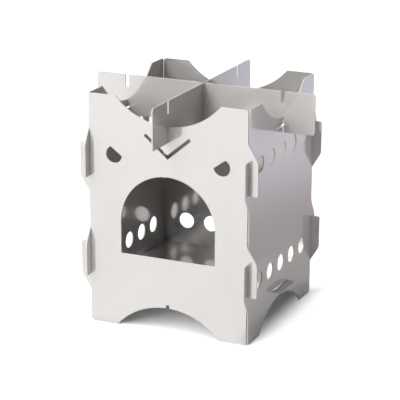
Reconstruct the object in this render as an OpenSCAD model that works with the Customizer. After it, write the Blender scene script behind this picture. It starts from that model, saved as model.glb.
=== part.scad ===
// Twig stove of flat steel plates: four walls that hook together at the corners, a floor
// plate in two slots, and two crossed plates that hold a pot above the fire.
// The origin is the middle of the footprint, on the ground. The fuel door faces -Y.
// Millimetres.

/* [Walls] */
// Distance between opposite walls, from mid-sheet to mid-sheet
wall_span = 133; // [125:1:150]
// Height of every wall
wall_h = 185; // [182:1:200]
// Thickness of the steel sheet
sheet_t = 1; // [0.8:0.1:1.2]
// Play on each side of a sheet in a snug slot
slot_play = 0.15; // [0.1:0.05:0.25]
// Radius of the outer corners of a wall and of a pot support
corner_r = 2.5; // [1:0.5:4]

/* [Hollows] */
// Depth of the hollow in a wall's top and bottom edges
hollow_depth = 20; // [15:1:24]
// Radius of that hollow
hollow_r = 57.5; // [52:0.5:62]
// Depth of the notch at the middle of a hollow, where a pot support sits
notch_depth = 2.5; // [1.5:0.5:3.5]

/* [Ears] */
// Height between the middles of the lower and the upper ears
ear_pitch = 80; // [74:1:86]
// Height over which two hooked ears overlap
ear_lap = 26.4; // [22:0.4:30]
// How far an ear stands out past the next wall
ear_reach = 7.1; // [5:0.1:9]
// Height of an ear's slanting shoulder
shoulder_h = 13.4; // [11:0.2:16]
// Radius where a shoulder meets the straight edges
shoulder_r = 8; // [4:1:10]
// Radius at the free end of an ear
ear_tip_r = 1; // [0.5:0.1:1.5]

/* [Vents] */
// Diameter of a vent hole
vent_d = 13.5; // [10:0.5:16]
// Distance between neighbouring vents
vent_pitch = 22.5; // [20:0.5:25]
// Vents in one row
vents_per_row = 5; // [3:2:5]
// Distance of a row of vents from the wall's nearer edge
vent_edge = 46.5; // [44:0.5:49]

/* [Fuel door] */
// Width of the fuel door, and so twice the radius of its arch
door_w = 79.2; // [70:0.4:84]
// Distance of the arch's crown from the wall's top edge
crown_drop = 59.3; // [56:0.1:64]
// Height of the door's straight sides, below the arch
door_side_h = 26.3; // [18:0.1:30]

/* [Half-round vents and slit] */
// Distance from a half-round vent's centre to its straight side
chord_offset = 3.4; // [2:0.1:5]
// Slope of the straight side, in degrees
chord_slope = 36.5; // [25:0.5:45]
// Distance of the slit's lowest bend from the wall's top edge
slit_drop = 43.7; // [38:0.1:46]
// Reach of the slit to each side
slit_reach = 18.8; // [12:0.2:24]
// Rise of the slit from its bend to its end
slit_rise = 15.8; // [8:0.2:18]
// Width of the slit
slit_w = 2.8; // [1.5:0.1:3.5]

/* [Floor plate] */
// Steel left between a hollow's notch and the slot for the floor plate
slot_web = 3.5; // [3:0.1:7]
// Width of a floor plate's tab
tab_w = 29; // [20:0.5:40]
// How far a tab stands out past the wall
tab_reach = 7; // [4:0.5:9]
// Radius of a tab's outer corners
tab_r = 3; // [1:0.5:4]
// Gap above a tab in its slot
tab_headroom = 0.8; // [0.3:0.1:1.4]
// Gap between the floor plate and each wall
floor_gap = 0.5; // [0.3:0.1:0.9]

/* [Pot supports] */
// Length of each pot support
support_l = 186; // [176:1:200]
// Depth of the slots near a support's ends
support_slot_depth = 10; // [8:0.5:12]
// Width of the slots in a support and of the notches that it sits in
support_slot_w = 3; // [1.8:0.1:3.4]

/* [Hidden] */
$fn = 96;

// How far a cut runs past the edge that it opens
overcut = 1;
// How far a shape that is joined on reaches into the sheet behind it
root = 5;

// Places across a wall, from its middle line
snug_slot_w = sheet_t + 2 * slot_play;
body_edge = (wall_span - snug_slot_w) / 2;
hook_inner = (wall_span + snug_slot_w) / 2;
wall_face = (wall_span + sheet_t) / 2;
ear_edge = wall_face + ear_reach;

// Heights on a wall
ear_mids = [(wall_h - ear_pitch) / 2, (wall_h + ear_pitch) / 2];
hollow_low = wall_h - hollow_depth;
notch_low = hollow_low - notch_depth;
floor_low = hollow_depth + notch_depth + slot_web;
eye_mid = wall_h - vent_edge;
slit_bend = wall_h - slit_drop;
door_spring = wall_h - crown_drop - door_w / 2;

// The outermost vents of the upper row, which the front wall has as half-rounds
eye_side = (vents_per_row - 1) / 2 * vent_pitch;

// A support's height, which brings its top edge level with the walls
support_h = hollow_depth + notch_depth + support_slot_depth;
support_low = wall_h - support_h;
support_mid = support_low + support_h / 2;

// The floor plate fills the space between the walls, and its tabs pass through them
floor_half = (wall_span - sheet_t) / 2 - floor_gap;
tab_edge = wall_face + tab_reach;
tab_slot_w = tab_w + 2 * slot_play;
tab_slot_h = sheet_t + tab_headroom;

wall_steel = [0.88, 0.87, 0.86];
support_steel = [0.76, 0.75, 0.74];
floor_steel = [0.62, 0.60, 0.60];

// Unit vector from one point towards another
function toward(from, to) = (to - from) / norm(to - from);

// What lies between a sharp corner and the round that takes its place. It runs on past the
// corner, so that it overlaps the steel that it joins or clears the steel that it cuts.
module corner_sliver(corner, end_a, end_b, r) {
    along_a = toward(corner, end_a);
    along_b = toward(corner, end_b);
    half_angle = acos(along_a * along_b) / 2;
    tangent = r / tan(half_angle);
    bisector = toward([0, 0], along_a + along_b);
    centre = corner + bisector * r / sin(half_angle);
    difference() {
        polygon([
            corner - bisector * overcut,
            corner + along_a * tangent,
            centre,
            corner + along_b * tangent
        ]);
        translate(centre) circle(r);
    }
}

// A shape and its copy, turned half a turn about the middle of the wall
module half_turn_pair() {
    children();
    translate([0, wall_h]) rotate(180) children();
}

// An ear on the right edge of a wall, seen from outside. Its hook hangs down, and the
// space behind the hook is the slot for the next wall.
module ear(mid) {
    shoulder_top = [body_edge, mid + ear_lap / 2 + shoulder_h];
    shoulder_end = [ear_edge, mid + ear_lap / 2];
    tip_outer = [ear_edge, mid - ear_lap / 2];
    tip_inner = [hook_inner, mid - ear_lap / 2];
    slot_end = [hook_inner, mid];
    difference() {
        polygon([
            [body_edge - root, mid],
            slot_end,
            tip_inner,
            tip_outer,
            shoulder_end,
            shoulder_top,
            [body_edge - root, shoulder_top.y]
        ]);
        corner_sliver(shoulder_end, shoulder_top, tip_outer, shoulder_r);
        corner_sliver(tip_outer, shoulder_end, tip_inner, ear_tip_r);
        corner_sliver(tip_inner, tip_outer, slot_end, ear_tip_r);
    }
    corner_sliver(shoulder_top, shoulder_end, shoulder_top + [0, root], shoulder_r);
}

// The round hollow in a wall's top edge, with the notch for a pot support at its lowest point
module hollow() {
    translate([0, hollow_low + hollow_r]) circle(hollow_r);
    translate([-support_slot_w / 2, notch_low]) square([support_slot_w, notch_depth + overcut]);
}

// What rounds the two top corners of a wall
module top_corners() {
    for (side = [-1, 1]) {
        top = [side * body_edge, wall_h];
        corner_sliver(top, top - [0, root], top - [side * root, 0], corner_r);
    }
}

// The outline that all four walls share. It is the same upside down.
module wall_outline() {
    difference() {
        union() {
            translate([-body_edge, 0]) square([2 * body_edge, wall_h]);
            half_turn_pair() {
                for (mid = ear_mids) {
                    ear(mid);
                }
            }
        }
        half_turn_pair() {
            hollow();
            top_corners();
        }
    }
}

// A row of round vents
module vent_row() {
    for (i = [0:vents_per_row - 1]) {
        translate([i * vent_pitch - eye_side, vent_edge]) circle(d = vent_d);
    }
}

// The slot that a tab of the floor plate passes through
module floor_slot() {
    translate([-tab_slot_w / 2, floor_low]) square([tab_slot_w, tab_slot_h]);
}

// The sheet of the right, back and left walls
module vented_outline() {
    difference() {
        wall_outline();
        half_turn_pair() {
            vent_row();
            floor_slot();
        }
    }
}

// The arched opening for feeding the fire
module fuel_door() {
    translate([-door_w / 2, door_spring - door_side_h]) square([door_w, door_side_h]);
    translate([0, door_spring]) intersection() {
        circle(d = door_w);
        translate([-door_w / 2, -overcut]) square([door_w, door_w]);
    }
}

// A half-round vent, whose straight side slopes down towards the middle of the wall
module half_round_vent(side) {
    translate([side * eye_side, eye_mid]) {
        difference() {
            circle(d = vent_d);
            rotate(side * chord_slope) translate([-vent_d, chord_offset]) square(2 * vent_d);
        }
    }
}

// The slit between the half-round vents, bent like a V
module slit() {
    rise = [slit_reach, slit_rise];
    across = [-rise.y, rise.x] / norm(rise) * slit_w / 2;
    bend = [0, slit_bend];
    thick = [0, slit_w / 2 * norm(rise) / slit_reach];
    end = bend + rise;
    polygon([
        bend - thick,
        end - across,
        end + across,
        bend + thick,
        [-end.x - across.x, end.y + across.y],
        [across.x - end.x, end.y - across.y]
    ]);
}

// The sheet of the front wall
module front_outline() {
    difference() {
        wall_outline();
        fuel_door();
        slit();
        for (side = [-1, 1]) {
            half_round_vent(side);
        }
    }
}

// Stands a flat outline upright as a sheet in the XZ plane
module upright_sheet() {
    translate([0, sheet_t / 2, 0]) rotate([90, 0, 0]) linear_extrude(sheet_t) children();
}

// Places a sheet as a wall, a number of quarter turns round from the front
module wall_at(quarter) {
    rotate(90 * quarter) translate([0, -wall_span / 2, 0]) upright_sheet() children();
}

module front_wall() {
    color(wall_steel) wall_at(0) front_outline();
}

module right_wall() {
    color(wall_steel) wall_at(1) vented_outline();
}

module back_wall() {
    color(wall_steel) wall_at(2) vented_outline();
}

module left_wall() {
    color(wall_steel) wall_at(3) vented_outline();
}

// A tab of the floor plate, on its +X side
module floor_tab() {
    inner = floor_half - root;
    difference() {
        translate([inner, -tab_w / 2]) square([tab_edge - inner, tab_w]);
        for (side = [-1, 1]) {
            corner = [tab_edge, side * tab_w / 2];
            corner_sliver(corner, corner - [root, 0], corner - [0, side * root], tab_r);
        }
    }
}

// The plate that the fire burns on. Its tabs lie on the lower side of the walls' slots.
module floor_plate() {
    color(floor_steel) translate([0, 0, floor_low]) linear_extrude(sheet_t) {
        square(2 * floor_half, center = true);
        for (turn = [0, 180]) {
            rotate(turn) floor_tab();
        }
    }
}

// The slots that a pot support has near both ends, in its top and bottom edges
module end_slots() {
    for (side = [-1, 1]) {
        translate([side * wall_span / 2 - support_slot_w / 2, 0]) {
            translate([0, support_low - overcut])
                square([support_slot_w, support_slot_depth + overcut]);
            translate([0, wall_h - support_slot_depth])
                square([support_slot_w, support_slot_depth + overcut]);
        }
    }
}

// A pot support without the slot at its middle
module support_outline() {
    difference() {
        translate([-support_l / 2, support_low]) square([support_l, support_h]);
        end_slots();
        for (side = [-1, 1]) {
            for (edge = [support_low, wall_h]) {
                corner = [side * support_l / 2, edge];
                inward = [side * root, sign(edge - support_mid) * root];
                corner_sliver(corner, corner - [inward.x, 0], corner - [0, inward.y], corner_r);
            }
        }
    }
}

// Half the height of a support, cut out at its middle from the given height upwards
module middle_slot(low) {
    translate([-support_slot_w / 2, low]) square([support_slot_w, support_h / 2 + overcut]);
}

// The support that goes in first, from left to right, with its middle slot open at the top
module lower_pot_support() {
    color(support_steel) upright_sheet() difference() {
        support_outline();
        middle_slot(support_mid);
    }
}

// The support that goes in last, from front to back, with its middle slot open at the bottom
module upper_pot_support() {
    color(support_steel) rotate(90) upright_sheet() difference() {
        support_outline();
        middle_slot(support_low - overcut);
    }
}

front_wall();
right_wall();
back_wall();
left_wall();
floor_plate();
lower_pot_support();
upper_pot_support();
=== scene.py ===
"""A twig stove of bright rolled stainless sheet, standing on a white studio floor.

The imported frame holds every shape: four hooked walls, a floor plate and two crossed pot
supports, all flat plates of 1 mm sheet. This script gives them their finish, and adds the
studio and the camera. Lengths are in metres unless a name ends in _mm.
"""

import logging
import math
from dataclasses import dataclass, field
from enum import Enum

import bpy
from mathutils import Matrix, Vector


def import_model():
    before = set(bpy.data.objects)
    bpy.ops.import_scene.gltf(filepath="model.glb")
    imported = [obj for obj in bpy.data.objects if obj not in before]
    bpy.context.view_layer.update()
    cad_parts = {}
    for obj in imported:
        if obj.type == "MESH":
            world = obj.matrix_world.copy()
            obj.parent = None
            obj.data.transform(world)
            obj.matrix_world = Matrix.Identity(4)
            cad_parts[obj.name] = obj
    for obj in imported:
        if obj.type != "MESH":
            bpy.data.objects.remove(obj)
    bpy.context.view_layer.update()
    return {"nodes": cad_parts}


LOG = logging.getLogger("twig_stove")
MM = 0.001
WHITE = (1.0, 1.0, 1.0, 1.0)

# The sRGB curve: a straight foot up to the knee, and a power above it
SRGB_KNEE = 0.04045
SRGB_FOOT = 12.92
SRGB_OFFSET = 0.055
SRGB_POWER = 2.4

# A Mix node's two inputs and its output by number, because their names repeat
FLOAT_A, FLOAT_B, FLOAT_OUT = 2, 3, 0
VECTOR_A, VECTOR_B, VECTOR_OUT = 4, 5, 1
COLOUR_A, COLOUR_B, COLOUR_OUT = 6, 7, 2

Socket = bpy.types.NodeSocket
Tree = bpy.types.NodeTree


class Facing(Enum):
    """The axis that a flat sheet's two broad faces look along."""

    X = (1.0, 0.0, 0.0)
    Y = (0.0, 1.0, 0.0)
    Z = (0.0, 0.0, 1.0)

    def grain(self) -> tuple[float, float, float]:
        """The direction that the sheet was rolled in, which lies in the sheet and is level."""
        return (0.0, 1.0, 0.0) if self is Facing.X else (1.0, 0.0, 0.0)


def linear(colour: str) -> tuple[float, float, float, float]:
    """Turns an sRGB hex colour into the linear one that a shader takes.

    Args:
        colour: The colour as "#rrggbb".

    Returns:
        Red, green, blue and an alpha of 1.
    """
    parts = [int(colour[i : i + 2], 16) / 255 for i in (1, 3, 5)]
    red, green, blue = (
        part / SRGB_FOOT
        if part <= SRGB_KNEE
        else ((part + SRGB_OFFSET) / (1 + SRGB_OFFSET)) ** SRGB_POWER
        for part in parts
    )
    return red, green, blue, 1.0


def outward(azimuth_deg: float, elevation_deg: float) -> Vector:
    """Turns two angles into a direction out from the stove.

    Args:
        azimuth_deg: The angle round from straight in front of the fuel door, above zero
            towards the right wall and below zero towards the left one.
        elevation_deg: The angle above the ground.

    Returns:
        The direction, one long.
    """
    azimuth, elevation = math.radians(azimuth_deg), math.radians(elevation_deg)
    return Vector(
        (
            math.sin(azimuth) * math.cos(elevation),
            -math.cos(azimuth) * math.cos(elevation),
            math.sin(elevation),
        )
    )


def add_node(
    tree: Tree, kind: str, inputs: dict[str | int, object] | None = None, **settings: object
) -> bpy.types.Node:
    """Adds a shader node with its settings and links.

    Args:
        tree: The node tree that it goes into.
        kind: The node's type, without the leading "ShaderNode".
        inputs: Socket names or numbers, each with a plain value or with the output to link.
        settings: The node's own properties.

    Returns:
        The new node.
    """
    node = tree.nodes.new("ShaderNode" + kind)
    for name, value in settings.items():
        setattr(node, name, value)
    for key, value in (inputs or {}).items():
        if isinstance(value, Socket):
            tree.links.new(value, node.inputs[key])
        else:
            node.inputs[key].default_value = value
    return node


def empty_material(name: str) -> bpy.types.Material:
    """Makes a material whose node tree is empty.

    Args:
        name: The material's name.

    Returns:
        The material.
    """
    made = bpy.data.materials.new(name)
    made.use_nodes = True
    made.node_tree.nodes.clear()
    return made


def studio_sheet(
    name: str, corners: list[tuple[float, float, float]], surface: bpy.types.Material
) -> bpy.types.Object:
    """Adds a flat four-cornered sheet of the studio's, such as its floor.

    Args:
        name: The sheet's name.
        corners: Its corners in order.
        surface: Its material.

    Returns:
        The sheet.
    """
    mesh = bpy.data.meshes.new(name)
    mesh.from_pydata(corners, [], [(0, 1, 2, 3)])
    mesh.materials.append(surface)
    sheet = bpy.data.objects.new(name, mesh)
    bpy.context.scene.collection.objects.link(sheet)
    return sheet


@dataclass(frozen=True)
class RolledStainless:
    """Stainless steel sheet, bright cold-rolled, with laser-cut edges.

    The rolls leave bright lands that mirror what stands round the sheet, and between them fine
    pits that they don't reach, which scatter light like frosted metal. The sheet is never quite
    flat, so that mirrored edges waver a little. The cut edges are duller, with the fine ridges
    of the cut across them.
    """

    name: str
    colour: str = "#cbc9c7"
    colour_worn: str = "#c5c3c1"
    colour_cut: str = "#c6c3c0"
    roughness: float = 0.12
    roughness_spread: float = 0.02
    roughness_pits: float = 0.9
    roughness_cut: float = 0.85
    # Real pits are some hundredths of a millimetre wide, so they are drawn about three times as
    # coarse, which is still too fine to see from the camera
    pit_pitch_mm: float = 0.1
    pit_length_mm: float = 0.3
    # The noise's range in which lands turn into pits: the lower it lies, the duller the sheet
    pits_from: float = 0.49
    pits_to: float = 0.55
    # Rolling lines are about 0.1 mm apart, so they are drawn ten times as coarse to show
    grain_pitch_mm: float = 1.0
    grain_length_mm: float = 60.0
    grain_height_mm: float = 0.004
    grain_bump: float = 0.3
    # How far handling marks reach, and the sum of patches and grain over which they dull it
    patch_mm: float = 35.0
    marks_from: float = 0.6
    marks_to: float = 1.4
    # The sheet's waviness, as the rolls leave it
    wave_mm: float = 70.0
    wave_height_mm: float = 0.02
    # The ridges that the cutting beam leaves
    ridge_pitch_mm: float = 0.6
    ridge_height_mm: float = 0.05
    ridge_bump: float = 0.6
    # The worn rim along the outline, by the cosine of how far the rounding turns the surface
    edge_round_mm: float = 0.08
    edge_samples: int = 6
    rim_from: float = 1.0
    rim_full: float = 0.75
    # A face counts as broad within 45 degrees of the way that the sheet faces
    broad_from: float = math.cos(math.radians(45.0)) ** 2

    def material(self, facing: Facing) -> bpy.types.Material:
        """Builds the material for sheets that face one way.

        Args:
            facing: The axis that the sheet's broad faces look along.

        Returns:
            The material.
        """
        made = empty_material(f"{self.name}_{facing.name.lower()}")
        tree = made.node_tree
        place = add_node(tree, "TexCoord").outputs["Object"]
        face_normal = add_node(tree, "NewGeometry").outputs["True Normal"]
        broad = self._broad(tree, face_normal, facing)
        patch_scale = 1 / (self.patch_mm * MM)
        patches = add_node(
            tree, "TexNoise", {"Vector": place, "Scale": patch_scale, "Detail": 4.0}
        ).outputs["Fac"]
        lines = self._along_grain(tree, place, facing, self.grain_pitch_mm, self.grain_length_mm)
        grain = add_node(
            tree, "TexNoise", {"Vector": lines, "Scale": 1.0, "Detail": 3.0, "Roughness": 0.6}
        ).outputs["Fac"]
        rounded = add_node(
            tree, "Bevel", {"Radius": self.edge_round_mm * MM}, samples=self.edge_samples
        ).outputs[0]
        shader = add_node(
            tree,
            "BsdfPrincipled",
            {
                "Base Color": self._tint(tree, broad, patches, face_normal, rounded),
                "Metallic": 1.0,
                "Roughness": self._dullness(
                    tree, broad, patches, grain, self._pits(tree, place, facing)
                ),
                "Normal": self._relief(tree, broad, place, grain, rounded),
            },
        )
        add_node(tree, "OutputMaterial", {"Surface": shader.outputs[0]})
        return made

    def _broad(self, tree: Tree, face_normal: Socket, facing: Facing) -> Socket:
        """Tells the broad faces of a sheet from its cut edges.

        Args:
            tree: The material's node tree.
            face_normal: The flat normal of the surface.
            facing: The axis that the broad faces look along.

        Returns:
            1 on a broad face and 0 on a cut edge.
        """
        along = add_node(
            tree, "VectorMath", {0: face_normal, 1: facing.value}, operation="DOT_PRODUCT"
        )
        squared = add_node(tree, "Math", {0: along.outputs["Value"], 1: 2.0}, operation="POWER")
        ends = {0: squared.outputs[0], 1: self.broad_from}
        return add_node(tree, "Math", ends, operation="GREATER_THAN").outputs[0]

    def _along_grain(
        self, tree: Tree, place: Socket, facing: Facing, pitch_mm: float, length_mm: float
    ) -> Socket:
        """Scales a place, so that noise on it comes out long in the rolling direction.

        Args:
            tree: The material's node tree.
            place: The place on the sheet.
            facing: The axis that the sheet's broad faces look along.
            pitch_mm: The noise's size across the rolling direction.
            length_mm: The noise's size along it.

        Returns:
            The scaled place, for noise of scale 1.
        """
        squeeze = tuple(1 / ((length_mm if g else pitch_mm) * MM) for g in facing.grain())
        return add_node(
            tree, "VectorMath", {0: place, 1: squeeze}, operation="MULTIPLY"
        ).outputs[0]

    def _pits(self, tree: Tree, place: Socket, facing: Facing) -> Socket:
        """Scatters the fine pits between the bright lands.

        Args:
            tree: The material's node tree.
            place: The place on the sheet.
            facing: The axis that the sheet's broad faces look along.

        Returns:
            1 in a pit and 0 on a land.
        """
        spots = self._along_grain(tree, place, facing, self.pit_pitch_mm, self.pit_length_mm)
        noise = add_node(tree, "TexNoise", {"Vector": spots, "Scale": 1.0, "Detail": 1.0})
        return add_node(
            tree,
            "MapRange",
            {
                "Value": noise.outputs["Fac"],
                "From Min": self.pits_from,
                "From Max": self.pits_to,
            },
        ).outputs[0]

    def _tint(
        self, tree: Tree, broad: Socket, patches: Socket, face_normal: Socket, rounded: Socket
    ) -> Socket:
        """Colours the broad faces in two tones, with the cut edge's colour on rims and edges.

        Args:
            tree: The material's node tree.
            broad: 1 on a broad face and 0 on a cut edge.
            patches: The noise of the handling marks.
            face_normal: The flat normal of the surface.
            rounded: The normal with its edges rounded off.

        Returns:
            The colour.
        """
        turned = add_node(
            tree, "VectorMath", {0: rounded, 1: face_normal}, operation="DOT_PRODUCT"
        )
        rim = add_node(
            tree,
            "MapRange",
            {
                "Value": turned.outputs["Value"],
                "From Min": self.rim_from,
                "From Max": self.rim_full,
            },
        )
        cut = linear(self.colour_cut)
        tone = add_node(
            tree,
            "Mix",
            {
                "Factor": patches,
                COLOUR_A: linear(self.colour),
                COLOUR_B: linear(self.colour_worn),
            },
            data_type="RGBA",
        )
        rimmed = add_node(
            tree,
            "Mix",
            {"Factor": rim.outputs[0], COLOUR_A: tone.outputs[COLOUR_OUT], COLOUR_B: cut},
            data_type="RGBA",
        )
        return add_node(
            tree,
            "Mix",
            {"Factor": broad, COLOUR_A: cut, COLOUR_B: rimmed.outputs[COLOUR_OUT]},
            data_type="RGBA",
        ).outputs[COLOUR_OUT]

    def _dullness(
        self, tree: Tree, broad: Socket, patches: Socket, grain: Socket, pits: Socket
    ) -> Socket:
        """Gives lands, pits and cut edges their roughness.

        Args:
            tree: The material's node tree.
            broad: 1 on a broad face and 0 on a cut edge.
            patches: The noise of the handling marks.
            grain: The noise of the rolling lines.
            pits: 1 in a pit and 0 on a land.

        Returns:
            The roughness.
        """
        marks = add_node(tree, "Math", {0: patches, 1: grain}, operation="ADD")
        lands = add_node(
            tree,
            "MapRange",
            {
                "Value": marks.outputs[0],
                "From Min": self.marks_from,
                "From Max": self.marks_to,
                "To Min": self.roughness - self.roughness_spread,
                "To Max": self.roughness + self.roughness_spread,
            },
        )
        pitted = add_node(
            tree,
            "Mix",
            {"Factor": pits, FLOAT_A: lands.outputs[0], FLOAT_B: self.roughness_pits},
            data_type="FLOAT",
        )
        return add_node(
            tree,
            "Mix",
            {
                "Factor": broad,
                FLOAT_A: self.roughness_cut,
                FLOAT_B: pitted.outputs[FLOAT_OUT],
            },
            data_type="FLOAT",
        ).outputs[FLOAT_OUT]

    def _relief(
        self, tree: Tree, broad: Socket, place: Socket, grain: Socket, rounded: Socket
    ) -> Socket:
        """Waves and lines the broad faces, and ridges the cut edges.

        Args:
            tree: The material's node tree.
            broad: 1 on a broad face and 0 on a cut edge.
            place: The place on the sheet.
            grain: The noise of the rolling lines.
            rounded: The normal with its edges rounded off.

        Returns:
            The normal.
        """
        wave_scale, ridge_scale = 1 / (self.wave_mm * MM), 1 / (self.ridge_pitch_mm * MM)
        waves = add_node(tree, "TexNoise", {"Vector": place, "Scale": wave_scale, "Detail": 1.0})
        ridges = add_node(tree, "TexNoise", {"Vector": place, "Scale": ridge_scale, "Detail": 2.0})
        wavy = add_node(
            tree,
            "Bump",
            {
                "Height": waves.outputs["Fac"],
                "Strength": 1.0,
                "Distance": self.wave_height_mm * MM,
                "Normal": rounded,
            },
        )
        lined = add_node(
            tree,
            "Bump",
            {
                "Height": grain,
                "Strength": self.grain_bump,
                "Distance": self.grain_height_mm * MM,
                "Normal": wavy.outputs[0],
            },
        )
        ridged = add_node(
            tree,
            "Bump",
            {
                "Height": ridges.outputs["Fac"],
                "Strength": self.ridge_bump,
                "Distance": self.ridge_height_mm * MM,
                "Normal": rounded,
            },
        )
        return add_node(
            tree,
            "Mix",
            {"Factor": broad, VECTOR_A: ridged.outputs[0], VECTOR_B: lined.outputs[0]},
            data_type="VECTOR",
        ).outputs[VECTOR_OUT]


@dataclass
class PlateSet:
    """Some of the stove's flat plates: the nodes of the frame and the way that each faces."""

    title: str
    plates: dict[str, Facing]
    finish: RolledStainless

    def dress(self, nodes: dict[str, bpy.types.Object]) -> None:
        """Gives every plate of the set its finish.

        Args:
            nodes: The frame's nodes by name.
        """
        made: dict[Facing, bpy.types.Material] = {}
        for name, facing in self.plates.items():
            if facing not in made:
                made[facing] = self.finish.material(facing)
            plate = nodes[name]
            if not plate.material_slots:
                plate.data.materials.append(made[facing])
            for slot in plate.material_slots:
                slot.material = made[facing]
            LOG.info("%s: %s in %s", self.title, name, made[facing].name)


@dataclass
class Walls(PlateSet):
    """The four walls, hooked together by their ears."""

    title: str = "walls"
    plates: dict[str, Facing] = field(
        default_factory=lambda: {
            "front_wall": Facing.Y,
            "right_wall": Facing.X,
            "back_wall": Facing.Y,
            "left_wall": Facing.X,
        }
    )
    finish: RolledStainless = RolledStainless("wall_rolled_stainless")


@dataclass
class FloorPlate(PlateSet):
    """The plate that the fire burns on, in the slots of the left and right walls."""

    title: str = "floor plate"
    plates: dict[str, Facing] = field(default_factory=lambda: {"floor_plate": Facing.Z})
    # A darker tone than the walls' sheet: painted shade for inside the fire chamber
    finish: RolledStainless = RolledStainless(
        "floor_stainless_painted_shade", colour="#acaaa8", colour_worn="#a6a4a2"
    )


@dataclass
class LowerPotSupport(PlateSet):
    """The plate from left to right that carries the pot, of a duller sheet than the rest."""

    title: str = "lower pot support"
    plates: dict[str, Facing] = field(default_factory=lambda: {"lower_pot_support": Facing.Y})
    finish: RolledStainless = RolledStainless(
        "lower_support_rolled_stainless", pits_from=0.43, pits_to=0.49
    )


@dataclass
class UpperPotSupport(PlateSet):
    """The plate from front to back that lies across the lower one."""

    title: str = "upper pot support"
    plates: dict[str, Facing] = field(default_factory=lambda: {"upper_pot_support": Facing.X})
    finish: RolledStainless = RolledStainless(
        "upper_support_rolled_stainless", roughness_pits=0.8, pits_from=0.48, pits_to=0.54
    )


@dataclass(frozen=True)
class SoftLamp:
    """A square softbox that faces the stove. Its angles are those of outward()."""

    name: str
    azimuth_deg: float
    elevation_deg: float
    power: float
    distance: float = 4.4
    side: float = 1.6
    aim_height: float = 0.08

    def build(self) -> None:
        """Adds the lamp to the scene."""
        away = outward(self.azimuth_deg, self.elevation_deg)
        data = bpy.data.lights.new(self.name, "AREA")
        data.shape = "SQUARE"
        data.size = self.side
        data.energy = self.power
        lamp = bpy.data.objects.new(self.name, data)
        lamp.location = Vector((0.0, 0.0, self.aim_height)) + away * self.distance
        lamp.rotation_mode = "QUATERNION"
        lamp.rotation_quaternion = (-away).to_track_quat("-Z", "Y")
        bpy.context.scene.collection.objects.link(lamp)
        LOG.info("studio: %s", self.name)


@dataclass(frozen=True)
class ToneCard:
    """A glowing grey card on edge beside the stove, just outside the photograph: a painted
    reflection for the steel to mirror.

    It is dimmer towards the ground, as painted shade. Only the steel sees it, so it hides nothing
    in a view from its side and throws no shadow.
    """

    near: tuple[float, float] = (0.226, -0.173)
    far: tuple[float, float] = (-0.124, 0.931)
    height: float = 0.2
    # Painted reflection in two tones: the low one is painted shade
    low_painted_shade_colour: str = "#989292"
    high_colour: str = "#cfccd8"
    strength: float = 1.72
    # The heights between which the low tone, of painted shade, turns into the high one
    blend_from: float = 0.025
    blend_to: float = 0.11

    def build(self) -> None:
        """Stands the card up and keeps it from all but the steel."""
        foot = [(*self.near, 0.0), (*self.far, 0.0)]
        top = [(*self.far, self.height), (*self.near, self.height)]
        card = studio_sheet("tone_card", foot + top, self._board())
        card.visible_camera = False
        card.visible_diffuse = False
        card.visible_shadow = False
        LOG.info("studio: tone card")

    def _board(self) -> bpy.types.Material:
        """Makes the card's glowing material, a painted reflection that stands for a lit matt grey
        board.

        Returns:
            The material.
        """
        board = empty_material("glowing_reflection_card")
        tree = board.node_tree
        place = add_node(tree, "SeparateXYZ", {0: add_node(tree, "TexCoord").outputs["Object"]})
        share = add_node(
            tree,
            "MapRange",
            {
                "Value": place.outputs["Z"],
                "From Min": self.blend_from,
                "From Max": self.blend_to,
            },
            interpolation_type="SMOOTHSTEP",
        )
        tone = add_node(
            tree,
            "Mix",
            {
                "Factor": share.outputs[0],
                COLOUR_A: linear(self.low_painted_shade_colour),
                COLOUR_B: linear(self.high_colour),
            },
            data_type="RGBA",
        )
        shine = {"Color": tone.outputs[COLOUR_OUT], "Strength": self.strength}
        shader = add_node(tree, "Emission", shine)
        add_node(tree, "OutputMaterial", {"Surface": shader.outputs[0]})
        return board


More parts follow.
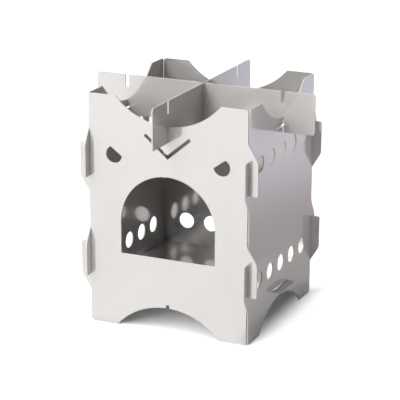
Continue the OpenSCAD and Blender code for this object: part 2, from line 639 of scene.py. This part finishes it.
@dataclass
class Studio:
    """White paper without an end, eight softboxes, a glowing grey card that paints a reflection,
    and a room that is dim overhead.
    """

    floor_half: float = 6.0
    floor_drop_mm: float = 0.02
    floor_colour: str = "#f3f3f3"
    backdrop_colour: str = "#848484"
    # Between these distances from the middle the paper turns from lit paper to a white background
    fade_from: float = 0.055
    fade_to: float = 0.084
    # How much of the background's white glow is painted onto the paper under the stove, as painted
    # light that lifts its shadow
    under_painted_glow: float = 0.07
    # Painted shade: the steel mirrors the paper's white dimmed near the stove, reaching further to
    # the right and to the back
    painted_shade_from: float = 0.062
    painted_shade_to: float = 0.08
    painted_shade_share: float = 0.8
    painted_shade_level: float = 0.2
    # Past the stove's right side the steel mirrors the paper dimmed, as painted shade
    right_shade_from: float = 0.05
    right_shade_level: float = 0.4
    # How white the paper is near the stove and far from it, and between which distances it rises
    glow_near: float = 0.95
    glow_far: float = 1.0
    rise_from: float = 0.3
    rise_to: float = 1.2
    room_level: float = 0.03
    # The white paper rises behind the stove, as the photograph looks at it
    sweep_level: float = 1.0
    sweep_azimuth_deg: float = -155.8
    sweep_elevation_deg: float = 17.0
    sweep_core_deg: float = 18.0
    sweep_edge_deg: float = 30.0
    lamps: tuple[SoftLamp, ...] = (
        SoftLamp("front_softbox", azimuth_deg=0.0, elevation_deg=22.0, power=46.0),
        SoftLamp("key_softbox", azimuth_deg=-12.0, elevation_deg=22.0, power=108.0),
        SoftLamp("low_softbox", azimuth_deg=-25.0, elevation_deg=12.0, power=20.0),
        SoftLamp("high_softbox", azimuth_deg=-25.0, elevation_deg=40.0, power=115.0),
        SoftLamp("top_softbox", azimuth_deg=-25.0, elevation_deg=65.0, power=100.0),
        SoftLamp("side_softbox", azimuth_deg=-50.0, elevation_deg=22.0, power=24.0),
        SoftLamp("right_softbox", azimuth_deg=75.0, elevation_deg=15.0, power=5.0),
        SoftLamp("rim_softbox", azimuth_deg=-150.0, elevation_deg=48.0, power=55.0),
    )
    card: ToneCard = ToneCard()

    def build(self) -> None:
        """Builds the floor, the room, the lamps and the card."""
        self._floor()
        self._room()
        for lamp in self.lamps:
            lamp.build()
        self.card.build()

    def _floor(self) -> None:
        """Lays the floor, a hair below the stove's feet."""
        reach = self.floor_half
        front = [(-reach, -reach, 0.0), (reach, -reach, 0.0)]
        rear = [(reach, reach, 0.0), (-reach, reach, 0.0)]
        floor = studio_sheet("studio_floor", front + rear, self._paper())
        floor.location.z = -self.floor_drop_mm * MM
        LOG.info("studio: floor")

    def _paper(self) -> bpy.types.Material:
        """Makes the floor's matt white paper.

        It takes the stove's soft shadow close by, lifted a little by painted light, and further
        out it is a white background.

        Returns:
            The material.
        """
        surface = empty_material("matt_white_paper")
        tree = surface.node_tree
        place = add_node(tree, "SeparateXYZ", {0: add_node(tree, "TexCoord").outputs["Object"]})
        away = self._away(tree, place, 1.0)
        strength = self._glow(tree, place, away)
        paper = add_node(tree, "BsdfDiffuse", {"Color": linear(self.floor_colour)})
        glow = add_node(tree, "Emission", {"Color": WHITE, "Strength": strength})
        grey = add_node(tree, "BsdfDiffuse", {"Color": linear(self.backdrop_colour)})
        lit = add_node(tree, "AddShader", {0: grey.outputs[0], 1: glow.outputs[0]})
        # Under the stove a share of the white glow is mixed in: painted light on the shadow
        share = add_node(
            tree,
            "MapRange",
            {
                "Value": away,
                "From Min": self.fade_from,
                "From Max": self.fade_to,
                "To Min": self.under_painted_glow,
            },
            interpolation_type="SMOOTHSTEP",
        )
        layers = {0: share.outputs[0], 1: paper.outputs[0], 2: lit.outputs[0]}
        both = add_node(tree, "MixShader", layers)
        add_node(tree, "OutputMaterial", {"Surface": both.outputs[0]})
        return surface

    def _glow(self, tree: Tree, place: bpy.types.Node, away: Socket) -> Socket:
        """Works out how white the background shows, to the camera and in the steel.

        Args:
            tree: The paper's node tree.
            place: The place on the paper, split into X, Y and Z.
            away: The place's distance from the middle.

        Returns:
            The strength of the white, 0 for light that falls on anything dull.
        """
        path = add_node(tree, "LightPath")
        bounced = add_node(
            tree,
            "Math",
            {0: path.outputs["Is Glossy Ray"], 1: path.outputs["Is Transmission Ray"]},
            operation="MAXIMUM",
        )
        mirrored = {0: bounced.outputs[0], 1: self._mirrored(tree, place)}
        kept = add_node(tree, "Math", mirrored, operation="MULTIPLY")
        shown = {0: path.outputs["Is Camera Ray"], 1: kept.outputs[0]}
        seen = add_node(tree, "Math", shown, operation="MAXIMUM")
        rise = add_node(
            tree,
            "MapRange",
            {
                "Value": away,
                "From Min": self.rise_from,
                "From Max": self.rise_to,
                "To Min": self.glow_near,
                "To Max": self.glow_far,
            },
        )
        risen = {0: seen.outputs[0], 1: rise.outputs[0]}
        return add_node(tree, "Math", risen, operation="MULTIPLY").outputs[0]

    def _mirrored(self, tree: Tree, place: bpy.types.Node) -> Socket:
        """Works out how much of the paper's white the steel mirrors, dimmed by painted shade.

        Args:
            tree: The paper's node tree.
            place: The place on the paper, split into X, Y and Z.

        Returns:
            The share, less where shade is painted: near the stove and past its right side.
        """
        # Painted shade near the stove, seen only in the steel
        shade = add_node(
            tree,
            "MapRange",
            {
                "Value": self._away(tree, place, self.painted_shade_share),
                "From Min": self.painted_shade_from,
                "From Max": self.painted_shade_to,
                "To Min": self.painted_shade_level,
            },
            interpolation_type="SMOOTHSTEP",
        )
        # Painted shade past the stove's right side, seen only in the steel
        foot = add_node(
            tree,
            "MapRange",
            {
                "Value": place.outputs["X"],
                "From Min": self.right_shade_from,
                "From Max": self.painted_shade_from,
                "To Min": 1.0,
                "To Max": self.right_shade_level,
            },
        )
        dimmed = {0: shade.outputs[0], 1: foot.outputs[0]}
        return add_node(tree, "Math", dimmed, operation="MINIMUM").outputs[0]

    def _away(self, tree: Tree, place: bpy.types.Node, share: float) -> Socket:
        """Measures how far a point of the floor lies from its middle, as a square grows.

        Args:
            tree: The paper's node tree.
            place: The place on the paper, split into X, Y and Z.
            share: What a distance to the right or to the back counts for.

        Returns:
            The distance.
        """
        spots = {0: place.outputs["X"], 1: place.outputs["Y"]}
        lower = add_node(tree, "Math", spots, operation="MINIMUM")
        upper = add_node(tree, "Math", spots, operation="MAXIMUM")
        front = add_node(tree, "Math", {0: lower.outputs[0], 1: -1.0}, operation="MULTIPLY")
        rear = add_node(tree, "Math", {0: upper.outputs[0], 1: share}, operation="MULTIPLY")
        both = {0: front.outputs[0], 1: rear.outputs[0]}
        return add_node(tree, "Math", both, operation="MAXIMUM").outputs[0]

    def _room(self) -> None:
        """Makes the world a dim room with a patch of white paper behind the stove."""
        world = bpy.data.worlds.new("dim_room")
        bpy.context.scene.world = world
        world.use_nodes = True
        tree = world.node_tree
        tree.nodes.clear()
        behind = tuple(outward(self.sweep_azimuth_deg, self.sweep_elevation_deg))
        toward = add_node(tree, "TexCoord").outputs["Generated"]
        near = add_node(tree, "VectorMath", {0: toward, 1: behind}, operation="DOT_PRODUCT")
        level = add_node(
            tree,
            "MapRange",
            {
                "Value": near.outputs["Value"],
                "From Min": math.cos(math.radians(self.sweep_edge_deg)),
                "From Max": math.cos(math.radians(self.sweep_core_deg)),
                "To Min": self.room_level,
                "To Max": self.sweep_level,
            },
            interpolation_type="SMOOTHSTEP",
        )
        light = add_node(tree, "Background", {"Color": WHITE, "Strength": level.outputs[0]})
        add_node(tree, "OutputWorld", {"Surface": light.outputs[0]})
        LOG.info("studio: room")


@dataclass(frozen=True)
class PhotoCamera:
    """A camera where the photograph was taken from. Its angles are those of outward()."""

    azimuth_deg: float = 24.226
    elevation_deg: float = 17.25
    roll_deg: float = 0.186
    distance: float = 1.3748
    aim_aside: float = -0.0027
    aim_height: float = 0.08903
    lens_mm: float = 155.47
    sensor_mm: float = 36.0
    clip_start: float = 0.05
    clip_end: float = 50.0

    def build(self) -> None:
        """Adds the camera and makes it the scene's."""
        azimuth, roll = math.radians(self.azimuth_deg), math.radians(self.roll_deg)
        level = Vector((math.cos(azimuth), math.sin(azimuth), 0.0))
        back = outward(self.azimuth_deg, self.elevation_deg)
        upright = back.cross(level)
        right = level * math.cos(roll) + upright * math.sin(roll)
        up = upright * math.cos(roll) - level * math.sin(roll)
        target = level * self.aim_aside + Vector((0.0, 0.0, self.aim_height))
        data = bpy.data.cameras.new("photo_camera")
        data.lens = self.lens_mm
        data.sensor_width = self.sensor_mm
        data.clip_start = self.clip_start
        data.clip_end = self.clip_end
        camera = bpy.data.objects.new("photo_camera", data)
        turn = Matrix((right, up, back)).transposed().to_4x4()
        camera.matrix_world = Matrix.Translation(target + back * self.distance) @ turn
        bpy.context.scene.collection.objects.link(camera)
        bpy.context.scene.camera = camera
        LOG.info("camera at %s", tuple(round(c, 3) for c in camera.location))


def main() -> None:
    """Dresses the frame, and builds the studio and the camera."""
    logging.basicConfig(level=logging.INFO, format="%(name)s: %(message)s")
    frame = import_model()
    for plates in (Walls(), FloorPlate(), LowerPotSupport(), UpperPotSupport()):
        plates.dress(frame["nodes"])
    Studio().build()
    PhotoCamera().build()
    bpy.context.scene.view_settings.view_transform = "Standard"


if __name__ == "__main__":
    main()
